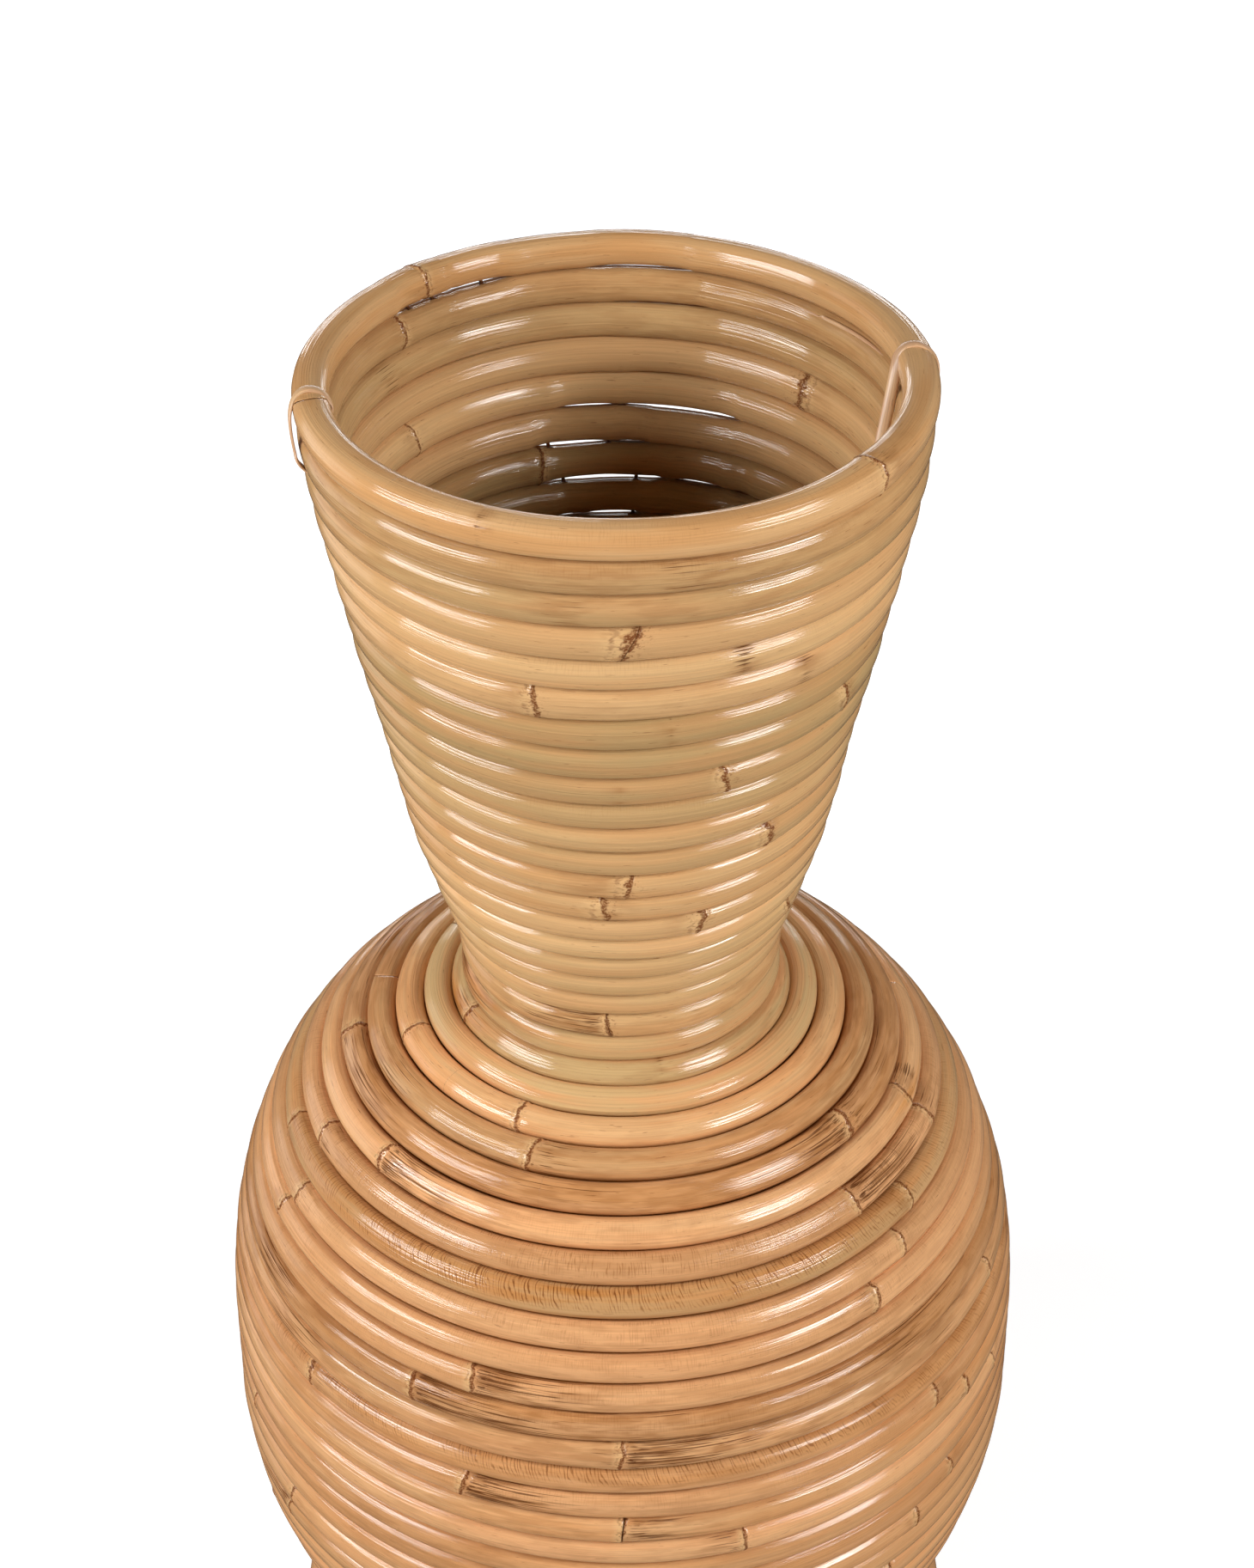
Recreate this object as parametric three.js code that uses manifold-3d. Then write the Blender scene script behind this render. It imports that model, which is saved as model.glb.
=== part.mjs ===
// Rattan vase: a stack of bent cane hoops with a flared neck, a round belly and a short foot,
// two peel ties at the rim and a plywood board in the lowest hoop.
// Millimetres, +Z up. The origin is on the floor, on the vase's axis. The front is -Y.
import * as THREE from 'three';
import { mergeVertices } from 'three/addons/utils/BufferGeometryUtils.js';
import Module from 'manifold-3d';

const wasm = await Module();
wasm.setup();

// Radii of the profile, from the axis to the centre of the cane
const RIM_RADIUS = 100;
const THROAT_RADIUS = 53.2;
const BELLY_RADIUS = 149.7;
const WAIST_RADIUS = 104;
const FOOT_RADIUS = 132;

// Cane diameters. The thickest canes are in the upper neck.
const RIM_CANE = 12.5;
const UPPER_NECK_CANE = 13.3;
const LOWER_NECK_CANE = 11.4;
const SHOULDER_CANE = 12;
const BELLY_CANE = 11.2;

// Hoops in each stretch of the profile, from the rim down
const LIP_COUNT = 4;
const UPPER_NECK_COUNT = 4;
const NECK_EASE_COUNT = 3;
const LOWER_NECK_COUNT = 4;
const PINCH_COUNT = 6;
const SHELF_COUNT = 4;
const THICK_SHOULDER_COUNT = 4;
const SHOULDER_EASE_COUNT = 3;
const LOWER_SHOULDER_COUNT = 7;
const BELLY_COUNT = 3;
const UNDER_BELLY_COUNT = 11;

// Foot: four hoops, or as many as its flare needs at the steepest mean slope
const FOOT_LEAST_COUNT = 4;
const FOOT_STEEPEST_ANGLE = 45;
const FOOT_STEP = BELLY_CANE * Math.sin(THREE.MathUtils.degToRad(FOOT_STEEPEST_ANGLE));
const FOOT_COUNT = Math.max(FOOT_LEAST_COUNT, Math.ceil((FOOT_RADIUS - WAIST_RADIUS) / FOOT_STEP));

// The hoop at which each stretch ends, counted from the rim hoop as 1
const LIP_END = LIP_COUNT;
const UPPER_NECK_END = LIP_END + UPPER_NECK_COUNT;
const LOWER_NECK_START = UPPER_NECK_END + NECK_EASE_COUNT;
const NECK_CONE_END = LOWER_NECK_START + LOWER_NECK_COUNT;
const THROAT = NECK_CONE_END + PINCH_COUNT;
const SHELF_END = THROAT + SHELF_COUNT;
const SHOULDER_THICK_END = SHELF_END + THICK_SHOULDER_COUNT;
const BELLY_CANE_START = SHOULDER_THICK_END + SHOULDER_EASE_COUNT;
const BELLY_START = BELLY_CANE_START + LOWER_SHOULDER_COUNT;
const BELLY_END = BELLY_START + BELLY_COUNT;
const WAIST = BELLY_END + UNDER_BELLY_COUNT;
const FOOT_END = WAIST + FOOT_COUNT;

// Slopes of the profile from the vertical, in degrees
const THROAT_TURN_ANGLE = 18;
const SHELF_ANGLE = 65.8;
const SHELF_EASE_ANGLE = 54;
const SHOULDER_ANGLE = 45.4;
const UNDER_BELLY_ANGLE = 39.4;

// Shares of the neck's main slope: at the lip, where the neck is pinched, and at the throat
const LIP_SLOPE = 0.54;
const PINCH_SLOPE = 1.59;
const THROAT_SLOPES = [0.67, 0.1];
const FOOT_SLOPE_LOSS = 0.36;

// Between these limits the free slopes are found, and the ease with which a curve turns upright
const NECK_ANGLE_RANGE = [0, 45];
const FOOT_ANGLE_RANGE = [0, 89];
const EASE_RANGE = [0.05, 20];

// Joints and clearances
const HOOP_GAP = 0.3;
const SCARF_GAP = 0.4;
const SCARF_ANGLE = 45;
const FRONT_JOINT_HOOPS = [4, 20, 37];

// Peel ties at the rim
const TIE_WIDTH = 4.2;
const TIE_THICKNESS = 0.9;
const TIE_CLEARANCE = 0.3;
const LEFT_TIE_HOOPS = 2;
const RIGHT_TIE_HOOPS = 3;

// Base board
const BOARD_THICKNESS = 6;
const BOARD_CLEARANCE = 0.4;

// Every hoop is bent in the same number of straight sides, with its corners in line with the others.
// The corners stand out a little, so that the hoop's plan has the area of its true circle.
const SIDES = 18;
const SIDE_ANGLE = (2 * Math.PI) / SIDES;
const CORNER_GROWTH = Math.sqrt(SIDE_ANGLE / Math.sin(SIDE_ANGLE));
const SIDE_SHARE = CORNER_GROWTH * Math.cos(SIDE_ANGLE / 2);
const FRONT_SIDE = 13;
const LEFT_SIDE = 9;
const RIGHT_SIDE = 0;
const BACK_SIDES = 9;
const BACK_JOINT_STEP = 5;
const UP = new THREE.Vector3(0, 0, 1);

// Half the angle that a flat of the cane's section takes, and the bulge of its sides
const FLAT_HALF_ANGLE = Math.PI / 6;
const SIDE_BULGE = 1.05;

const neckFinish = { color: 0xb0895a, roughness: 0.42, metalness: 0 };
const bellyFinish = { color: 0xb97f45, roughness: 0.4, metalness: 0 };
const peelFinish = { color: 0xc49a74, roughness: 0.5, metalness: 0 };
const boardFinish = { color: 0xc8a878, roughness: 0.8, metalness: 0 };

// The cane diameter of a hoop, eased in a straight line between the zones
function caneDiameter(hoop) {
  const zones = [
    [1, RIM_CANE],
    [LIP_END, UPPER_NECK_CANE],
    [UPPER_NECK_END, UPPER_NECK_CANE],
    [LOWER_NECK_START, LOWER_NECK_CANE],
    [NECK_CONE_END, LOWER_NECK_CANE],
    [SHELF_END, SHOULDER_CANE],
    [SHOULDER_THICK_END, SHOULDER_CANE],
    [BELLY_CANE_START, BELLY_CANE],
    [FOOT_END, BELLY_CANE],
  ];
  const next = zones.findIndex(([last]) => last >= hoop && last > 1);
  const [start, from] = zones[next - 1];
  const [end, to] = zones[next];
  return THREE.MathUtils.lerp(from, to, (hoop - start) / (end - start));
}

// The distance from a hoop's centre to the centre of the hoop below it
function stepDown(hoop) {
  return (caneDiameter(hoop) + caneDiameter(hoop + 1)) / 2;
}

// How far the profile widens over the steps that start at a hoop and have these slopes in degrees
function widening(firstHoop, slopes) {
  return slopes.reduce((sum, slope, i) => {
    return sum + stepDown(firstHoop + i) * Math.sin(THREE.MathUtils.degToRad(slope));
  }, 0);
}

// The value between low and high at which a rising function reaches a target
function solve([low, high], target, rising) {
  const HALVINGS = 50;
  for (let i = 0; i < HALVINGS; i++) {
    const middle = (low + high) / 2;
    if (rising(middle) < target) low = middle;
    else high = middle;
  }
  return (low + high) / 2;
}

const steps = (from, to, slope) => Array.from({ length: to - from }, (_, i) => slope(i, to - from));

// Neck: a lip that stands nearly upright, a cone, a pinched stretch and the throat
const neckShares = [
  ...steps(1, LIP_END, (i, n) => THREE.MathUtils.lerp(LIP_SLOPE, 1, i / n)),
  ...steps(LIP_END, NECK_CONE_END, () => 1),
  ...steps(NECK_CONE_END, THROAT - THROAT_SLOPES.length, () => PINCH_SLOPE),
  ...THROAT_SLOPES,
];
const neckAt = (angle) => neckShares.map((share) => -share * angle);
const neckAngle = solve(NECK_ANGLE_RANGE, RIM_RADIUS - THROAT_RADIUS, (angle) => {
  return -widening(1, neckAt(angle));
});

// Shoulder: a shelf under the throat, then a dome that turns upright at the belly
const shelf = [
  THROAT_TURN_ANGLE,
  ...steps(THROAT + 1, SHELF_END, () => SHELF_ANGLE),
  SHELF_EASE_ANGLE,
];
const shelfRadius = THROAT_RADIUS + widening(THROAT, shelf);
const domeStart = THROAT + shelf.length;
const domeAt = (ease) => {
  return steps(domeStart, BELLY_START, (i, n) => SHOULDER_ANGLE * (1 - i / n) ** (1 / ease));
};
const domeEase = solve(EASE_RANGE, BELLY_RADIUS - shelfRadius, (ease) => {
  return widening(domeStart, domeAt(ease));
});

// Belly: upright hoops, then the underside that draws in to the waist
const upright = steps(BELLY_START, BELLY_END, () => 0);
const underAt = (ease) => {
  return steps(BELLY_END, WAIST, (i, n) => -UNDER_BELLY_ANGLE * ((i + 1) / n) ** (1 / ease));
};
const underEase = solve(EASE_RANGE, BELLY_RADIUS - WAIST_RADIUS, (ease) => {
  return -widening(BELLY_END, underAt(ease));
});

// Foot: flares out from the waist and steepens towards the floor
const footAt = (angle) => {
  return steps(WAIST, FOOT_END, (i, n) => angle * (1 - (FOOT_SLOPE_LOSS * i) / (n - 1)));
};
const footAngle = solve(FOOT_ANGLE_RANGE, FOOT_RADIUS - WAIST_RADIUS, (angle) => {
  return widening(WAIST, footAt(angle));
});

const slopes = [
  ...neckAt(neckAngle),
  ...shelf,
  ...domeAt(domeEase),
  ...upright,
  ...underAt(underEase),
  ...footAt(footAngle),
];

// The centre of every cane in the radial plane, with the directions to its two neighbours
function stackHoops() {
  const hoops = [{ number: 1, radius: RIM_RADIUS, height: 0, cane: caneDiameter(1) / 2 }];
  slopes.forEach((slope, i) => {
    const above = hoops[i];
    const turn = THREE.MathUtils.degToRad(slope);
    hoops.push({
      number: i + 2,
      radius: above.radius + stepDown(above.number) * Math.sin(turn),
      height: above.height - stepDown(above.number) * Math.cos(turn),
      cane: caneDiameter(i + 2) / 2,
    });
  });
  const lowest = hoops[hoops.length - 1];
  const floor = lowest.height - lowest.cane + HOOP_GAP / 2;
  hoops.forEach((hoop, i) => {
    hoop.height -= floor;
    hoop.down = -Math.PI / 2 + THREE.MathUtils.degToRad(slopes[i] ?? 0);
    hoop.up = Math.PI / 2 + THREE.MathUtils.degToRad(slopes[i - 1] ?? 0);
  });
  return hoops;
}

// The cane's section: a flat towards each neighbour, half a gap short of it, and two bulged sides
function caneSection({ radius, height, cane, up, down }) {
  const corner = (cane - HOOP_GAP / 2) / Math.cos(FLAT_HALF_ANGLE);
  const outer = (up + down) / 2;
  const inner = outer + Math.PI;
  const corners = [
    [down + FLAT_HALF_ANGLE, corner],
    [outer, cane * SIDE_BULGE],
    [up - FLAT_HALF_ANGLE, corner],
    [up + FLAT_HALF_ANGLE, corner],
    [inner, cane * SIDE_BULGE],
    [down - FLAT_HALF_ANGLE, corner],
  ];
  return corners.map(([angle, reach]) => {
    return new THREE.Vector2(radius + reach * Math.cos(angle), height + reach * Math.sin(angle));
  });
}

function toSolid(geometry) {
  const bare = geometry.clone();
  bare.deleteAttribute('normal');
  bare.deleteAttribute('uv');
  const merged = mergeVertices(bare, 1e-4);
  return new wasm.Manifold(new wasm.Mesh({
    numProp: 3,
    vertProperties: new Float32Array(merged.attributes.position.array),
    triVerts: new Uint32Array(merged.index.array),
  }));
}

function toGeometry(solid) {
  const { vertProperties, triVerts } = solid.getMesh();
  const geometry = new THREE.BufferGeometry();
  geometry.setAttribute('position', new THREE.BufferAttribute(vertProperties, 3));
  geometry.setIndex(new THREE.BufferAttribute(triVerts, 1));
  geometry.computeVertexNormals();
  return geometry;
}

// The plane angle of the middle of one of the hoops' straight sides
const sideAngle = (side) => (side + 0.5) * SIDE_ANGLE;

// The side where a hoop's joint lies: a few are at the front, the others are spread round the back
function jointSide(hoop) {
  if (FRONT_JOINT_HOOPS.includes(hoop)) return FRONT_SIDE;
  return (hoop * BACK_JOINT_STEP) % BACK_SIDES;
}

// The sections along a bent cane: one scarfed end, every corner of the hoop, and the other end.
// Both ends lie in the middle of one straight side and slant with the height, a saw cut apart.
function hoopSections(hoop) {
  const points = caneSection(hoop);
  const side = jointSide(hoop.number);
  const slant = Math.tan(THREE.MathUtils.degToRad(SCARF_ANGLE));
  const halfCut = SCARF_GAP / 2 / Math.cos(THREE.MathUtils.degToRad(SCARF_ANGLE));
  const turn = (corners, angle) => corners.map((corner) => corner.applyAxisAngle(UP, angle));
  const endAt = (offset) => turn(points.map(({ x, y }) => {
    return new THREE.Vector3(x * SIDE_SHARE, offset + slant * (y - hoop.height), y);
  }), sideAngle(side));
  const corners = Array.from({ length: SIDES }, (_, i) => turn(points.map(({ x, y }) => {
    return new THREE.Vector3(x * CORNER_GROWTH, 0, y);
  }), (side + 1 + i) * SIDE_ANGLE));
  return [endAt(halfCut), ...corners, endAt(-halfCut)];
}

// A loop of flat section round the top hoops, in the radial plane: from inner to outer beyond
// the line on which the strip lies
function bandOutline(top, bottom, inner, outer) {
  const across = bottom.radius * SIDE_SHARE - top.radius * SIDE_SHARE;
  const along = bottom.height - top.height;
  const heading = Math.atan2(along, across);
  const topReach = top.cane + TIE_CLEARANCE;
  const bottomReach = bottom.cane - TIE_THICKNESS / 2;
  const tangent = Math.acos((topReach - bottomReach) / Math.hypot(across, along));
  const trace = (path, offset) => {
    path.absarc(top.radius * SIDE_SHARE, top.height, topReach + offset,
      heading + tangent, heading - tangent + 2 * Math.PI, false);
    path.absarc(bottom.radius * SIDE_SHARE, bottom.height, bottomReach + offset,
      heading - tangent, heading + tangent, false);
    return path;
  };
  const outline = trace(new THREE.Shape(), outer);
  outline.holes.push(trace(new THREE.Path(), inner));
  return outline;
}

// A peel strip looped round the top hoops. Grown by a clearance, it is also the cut that lets it in.
function tieGeometry(hoops, count, side, clearance) {
  const outline = bandOutline(hoops[0], hoops[count - 1], -clearance, TIE_THICKNESS + clearance);
  const depth = TIE_WIDTH + 2 * clearance;
  const band = new THREE.ExtrudeGeometry(outline, { depth, bevelEnabled: false, curveSegments: 6 });
  band.translate(0, 0, -depth / 2);
  band.rotateX(Math.PI / 2);
  band.rotateZ(sideAngle(side));
  return band;
}

// One closed skin over the sections, with a flat cap on each scarfed end
function hoopGeometry(hoop) {
  const sections = hoopSections(hoop);
  const count = sections[0].length;
  const last = (sections.length - 1) * count;
  const index = [];
  for (let base = 0; base < last; base += count) {
    for (let i = 0; i < count; i++) {
      const next = (i + 1) % count;
      index.push(base + i, base + count + i, base + count + next);
      index.push(base + i, base + count + next, base + next);
    }
  }
  for (let i = 1; i < count - 1; i++) {
    index.push(0, i, i + 1);
    index.push(last, last + i + 1, last + i);
  }
  const geometry = new THREE.BufferGeometry().setFromPoints(sections.flat());
  geometry.setIndex(index);
  geometry.computeVertexNormals();
  return geometry;
}

// A hoop let in where the ties pass it
function notchedGeometry(hoop, cuts) {
  const plain = hoopGeometry(hoop);
  if (cuts.length === 0) return plain;
  return toGeometry(cuts.reduce((solid, cut) => solid.subtract(cut), toSolid(plain)));
}

function boardGeometry(hoop) {
  const inside = (hoop.radius - SIDE_BULGE * hoop.cane - BOARD_CLEARANCE) * CORNER_GROWTH;
  const board = new THREE.CylinderGeometry(inside, inside, BOARD_THICKNESS, SIDES, 1, false, Math.PI / 2);
  board.rotateX(Math.PI / 2);
  board.translate(0, 0, hoop.height);
  return board;
}

function zoneName(hoop) {
  if (hoop === 1) return 'rim';
  if (hoop < THROAT) return 'neck';
  if (hoop < BELLY_START) return 'shoulder';
  if (hoop < WAIST) return 'belly';
  return hoop === WAIST ? 'waist' : 'foot';
}

function addPiece(group, name, geometry, finish) {
  const piece = new THREE.Mesh(geometry, new THREE.MeshStandardMaterial(finish));
  piece.name = name;
  group.add(piece);
}

const hoops = stackHoops();
const ties = [
  { name: 'tie_left', count: LEFT_TIE_HOOPS, side: LEFT_SIDE },
  { name: 'tie_right', count: RIGHT_TIE_HOOPS, side: RIGHT_SIDE },
];

const vase = new THREE.Group();
for (const hoop of hoops) {
  const passing = ties.filter(({ count }) => hoop.number <= count + 1);
  const cuts = passing.map(({ count, side }) => toSolid(tieGeometry(hoops, count, side, TIE_CLEARANCE)));
  const name = `${zoneName(hoop.number)}_hoop_${String(hoop.number).padStart(2, '0')}`;
  addPiece(vase, name, notchedGeometry(hoop, cuts), hoop.number < THROAT ? neckFinish : bellyFinish);
}
for (const { name, count, side } of ties) {
  addPiece(vase, name, tieGeometry(hoops, count, side, 0), peelFinish);
}
addPiece(vase, 'base_board', boardGeometry(hoops[hoops.length - 1]), boardFinish);

export default vase;
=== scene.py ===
"""Rattan vase: canes bent into hoops, peel ties at the rim, glued brads and a plywood base."""

import math
from functools import partial

import bpy
import numpy as np
from bpy.props import FloatProperty, FloatVectorProperty, PointerProperty
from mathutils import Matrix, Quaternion, Vector


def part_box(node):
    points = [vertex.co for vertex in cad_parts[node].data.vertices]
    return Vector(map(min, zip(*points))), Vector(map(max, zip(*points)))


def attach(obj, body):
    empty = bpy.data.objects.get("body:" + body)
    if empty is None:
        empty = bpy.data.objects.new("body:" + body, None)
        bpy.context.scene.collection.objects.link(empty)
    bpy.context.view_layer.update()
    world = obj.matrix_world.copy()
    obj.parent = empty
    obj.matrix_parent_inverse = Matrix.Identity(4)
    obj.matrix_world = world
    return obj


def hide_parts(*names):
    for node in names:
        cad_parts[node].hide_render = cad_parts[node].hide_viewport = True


bl_info = {
    "name": "Rattan Vase",
    "version": (1, 0, 0),
    "blender": (4, 5, 0),
    "location": "3D View > Sidebar > Vase",
    "description": "Dresses the packed hoops of a rattan vase as lacquered cane",
    "category": "Object",
}

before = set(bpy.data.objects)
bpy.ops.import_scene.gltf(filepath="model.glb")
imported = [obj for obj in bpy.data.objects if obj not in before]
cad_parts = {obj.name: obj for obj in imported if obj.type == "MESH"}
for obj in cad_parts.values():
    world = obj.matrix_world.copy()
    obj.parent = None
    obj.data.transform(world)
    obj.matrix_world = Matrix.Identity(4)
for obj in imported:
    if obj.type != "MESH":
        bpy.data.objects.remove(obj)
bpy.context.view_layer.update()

# The scene is in metres. Sizes in the tables and in the mesh code are in millimetres, and plan
# angles in degrees, anticlockwise from the right, so that the front is at 270.
MM = 0.001

# Every CAD hoop has a corner at this plan angle, away from the joints and the ties.
# Its corners stand out by this growth, so that the hoop's plan has the area of its circle.
SECTION_ANGLE = 100
CORNER_GROWTH = 1.0102

# Hoops, counted from the rim down: the last that the photograph shows all round, the last of the
# neck, the first of the shoulder, the widest, and the lowest
SEEN_INSIDE = 10
NECK_END = 20
THROAT = 21
BELLY = 41
LAST_HOOP = 57

# Joints: hoop, plan angle and slope of the cut. These lie where the photograph shows them, or at
# the far left or right of a hoop on which it shows none. The others lie where the CAD has them, in
# the middle of every fifth of its nine sides at the back.
FRONT_JOINTS = {
    1: (189.5, 1.0), 2: (8, 1.0), 3: (176, 1.0), 4: (272, 0.45), 5: (4, 1.0), 6: (178, 1.0),
    7: (3, 1.0), 8: (177, 1.0), 9: (5, 1.0), 20: (266, 0.05), 37: (270, 0.05),
}
BACK_JOINT_STEP = 5
BACK_SIDES = 9
SIDE_ANGLE = 20
SCARF_SLOPE = 1.0

# Growth rings of the cane that the photograph shows: hoop, plan angle, and how far dark streaks
# run from the ring, towards rising angles where positive
RINGS = [
    (1, 134, 12), (1, 322, 26), (2, 143, 10), (4, 44, -20), (4, 272, -8), (5, 145, 8),
    (6, 254, -14), (7, 110, 14), (8, 326, 8), (9, 294, -6), (12, 308, 6), (13, 272, -24),
    (14, 266, 12), (15, 292, -12), (17, 333, 14), (20, 266, -62), (21, 172, 75), (22, 206, -24),
    (24, 244, -14), (24, 199, 10), (25, 250, 34), (26, 186, 34), (26, 322, -60), (26, 322.3, 40),
    (27, 220, 70), (27, 341, 26), (28, 204, 30), (28, 315, 90), (28, 342, 30), (29, 194, 14),
    (29, 326, -18), (30, 206, 22), (30, 320, 12), (31, 203, -20), (31, 312, -26), (32, 248, 74),
    (33, 239, 110), (34, 270, 120), (34, 339, 22), (35, 220, 30), (36, 248, 70), (36, 320, 26),
    (37, 270, 46), (37, 328, -20), (38, 287, -34), (38, 338, 24), (40, 202, 16), (40, 324, 18),
    (41, 316, -14), (42, 214, 20),
]

# Hoops whose scars are wider than usual, and how many times
WIDE_SCARS = {
    4: 2.6, 6: 1.5, 8: 1.5, 9: 1.6, 12: 1.6, 13: 1.7, 14: 1.9, 15: 1.8, 17: 1.6, 26: 1.3,
}

# Hoops with fine cracks across the skin, from bending, and with coarse slanted ones
FINE_CRACKS = {
    1: 0.22, 2: 0.25, 5: 0.2, 10: 0.2, 27: 0.2, 28: 1.0, 30: 0.55, 31: 0.4, 32: 0.4, 33: 0.35,
    36: 0.3,
}
COARSE_CRACKS = {29: 1.0, 35: 0.8}

# Canes that were cut green, and canes that ripened to a deeper orange
GREEN_CANES = {
    1: 0.0, 2: 0.2, 3: 0.45, 5: 0.3, 6: 0.2, 7: 0.7, 8: 0.75, 9: 0.55, 10: 0.5, 11: 0.4, 12: 0.35,
    16: 0.45, 17: 0.4, 18: 0.5, 19: 0.45, 20: 0.3, 21: 0.75, 22: 0.85, 23: 0.8, 24: 0.4, 25: 0.35,
    29: 0.5, 34: 0.25, 38: 0.2,
}
RIPE_CANES = {
    1: 0.4, 13: 0.25, 14: 0.3, 20: 0.2, 25: 0.3, 26: 0.4, 29: 0.4, 33: 0.35, 35: 0.4, 36: 0.3,
    37: 0.35,
}

# Canes that stand out as paler or darker, by about this share, and as streaked all along
PALE_CANES = {
    5: 0.18, 12: 0.1, 16: 0.18, 19: 0.12, 23: 0.2, 24: 0.22, 27: 0.2, 31: 0.2, 37: 0.08, 38: 0.16,
}
DARK_CANES = {2: 0.18, 7: 0.1, 8: 0.16, 9: 0.16, 25: 0.03, 26: 0.08, 33: 0.06}
DIRTY_CANES = {
    2: 0.6, 3: 0.5, 6: 0.3, 20: 0.6, 22: 0.65, 24: 0.4, 25: 0.9, 26: 1.0, 27: 0.55, 28: 0.55,
    30: 0.5, 31: 0.4, 32: 0.55, 33: 1.0, 34: 0.9, 35: 0.65, 36: 0.6, 37: 0.6, 38: 0.4, 39: 0.6,
    40: 0.5, 41: 0.55, 43: 0.55,
}

# Stained patches away from the rings: hoop, plan angle, half length, and strength
SMUDGES = [
    (1, 247, 3, 0.8), (2, 283, 22, 0.7), (3, 262, 14, 0.6), (3, 150, 12, 0.7), (5, 294, 5, 0.85),
    (6, 309, 6, 0.75), (7, 280, 2, 0.8), (9, 270, 2, 0.7), (20, 252, 14, 0.7), (21, 204, 26, 0.62),
    (22, 198, 22, 0.62), (22, 283, 2, 0.8), (25, 204, 30, 0.72), (26, 204, 40, 0.7),
    (27, 346, 5, 0.95), (33, 205, 34, 0.8), (34, 214, 46, 0.74), (34, 20, 16, 0.7),
    (33, 352, 24, 0.7), (35, 352, 18, 0.66),
]

# Lengths of cane with a red blush: hoop, plan angle, and half length
BLUSHES = [
    (36, 192, 26), (37, 187, 22), (22, 196, 20), (21, 206, 16), (27, 345, 24), (29, 262, 30),
]

# Light shows between the canes at the back of the neck: upper hoop, plan angles, and opening
SLITS = [
    (1, 127, 142, 1.4), (1, 114, 128, 1.3), (1, 75, 95, 0.8), (2, 70, 91, 0.4), (4, 67, 86, 0.5),
    (5, 61, 88.5, 1.6), (5, 90, 104, 0.9), (6, 92.5, 110.5, 2.0), (6, 82, 92, 0.9),
    (7, 79.5, 109, 2.0), (7, 63, 76, 0.9), (7, 55, 60, 0.6), (8, 84, 99, 1.4),
    (8, 99.5, 107, 0.9),
]

# Brads that show in those slits or beside them: upper hoop and plan angle
BRADS = [
    (1, 137.5), (1, 131), (1, 119), (5, 89.2), (6, 106.7), (6, 92.3), (7, 103.7), (7, 85.6),
    (8, 86.3),
]


def length_property(name, description, millimetres):
    """A length that the panel shows."""
    return FloatProperty(
        name=name, description=description, default=millimetres * MM, unit="LENGTH",
    )


class VaseCanes(bpy.types.PropertyGroup):
    """Sizes of the canes and of what is irregular about them"""

    wave: length_property("Wave", "How far a bent hoop strays from its circle", 0.35)
    ring_swelling: length_property("Ring swelling", "How far a cane swells at a growth ring", 0.32)
    ring_spacing: length_property("Ring spacing", "Usual distance between growth rings", 340)
    joint_gap: length_property("Joint gap", "Width of the cut between a hoop's two ends", 0.16)
    neck_lean: length_property("Neck lean", "How far the rim stands to the left of the belly", 2.4)
    section_step: length_property("Section step", "Distance between a mesh's sections", 3.2)


class VasePeel(bpy.types.PropertyGroup):
    """Sizes of the peel ties and the brads"""

    width: length_property("Tie width", "Width of a peel strip", 4.2)
    thickness: length_property("Tie thickness", "Thickness of a peel strip", 0.9)
    brad: length_property("Brad diameter", "Diameter of a brad with its bead of glue", 1.8)


class VaseStage(bpy.types.PropertyGroup):
    """The studio round the vase"""

    key_power: FloatProperty(
        name="Softbox power", description="Power of each softbox beside the camera",
        default=13.0, unit="POWER",
    )
    fill_power: FloatProperty(
        name="Fill power", description="Power of the lamps before and behind the vase",
        default=8.0, unit="POWER",
    )
    ambient: FloatProperty(
        name="Ambient", description="Strength of the light from the walls, near the horizon",
        default=0.3, min=0,
    )
    floor_glow: FloatProperty(
        name="Floor glow", description="What the camera sees the floor give off beside the vase",
        default=0.62, min=0,
    )


def hex_colour(code):
    """The linear colour of an sRGB hex value."""
    parts = [int(code[i:i + 2], 16) / 255 for i in (1, 3, 5)]
    return [p / 12.92 if p <= 0.04045 else ((p + 0.055) / 1.055) ** 2.4 for p in parts]


def colour_property(name, description, code):
    """A colour that the panel shows, with its default from an sRGB hex value."""
    return FloatVectorProperty(
        name=name, description=description, default=hex_colour(code), subtype="COLOR",
        size=3, min=0, max=1,
    )


class VaseColours(bpy.types.PropertyGroup):
    """Colours of the cane, the peel, the board and the stage"""

    neck: colour_property("Neck cane", "Straw cane of the neck", "#d0a370")
    belly: colour_property("Belly cane", "Honey cane of the belly", "#d69e6c")
    green: colour_property("Green cane", "Cane that was cut green", "#bda06e")
    ripe: colour_property("Ripe cane", "Cane that ripened to orange", "#c08142")
    stain: colour_property("Stain", "Dark streaks in the skin", "#471b05")
    crack: colour_property("Crack", "Fine cracks across the skin", "#8a5222")
    ring: colour_property("Ring", "Scar at a growth ring", "#683012")
    # The seam colour is partly dirt and lacquer between two canes and partly painted shade in the
    # groove
    seam: colour_property("Seam", "Dirt and lacquer between two canes", "#94591e")
    peeled: colour_property("Peeled cane", "Pale cane where the skin came off", "#e3ba84")
    peel: colour_property("Peel", "Split peel of the ties", "#d0a27a")
    plywood: colour_property("Plywood", "Face of the base board", "#cdae7d")
    glue: colour_property("Glue", "Dried glue round a brad", "#6a4c2c")
    floor: colour_property("Floor", "Studio floor", "#d8d8d8")


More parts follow.
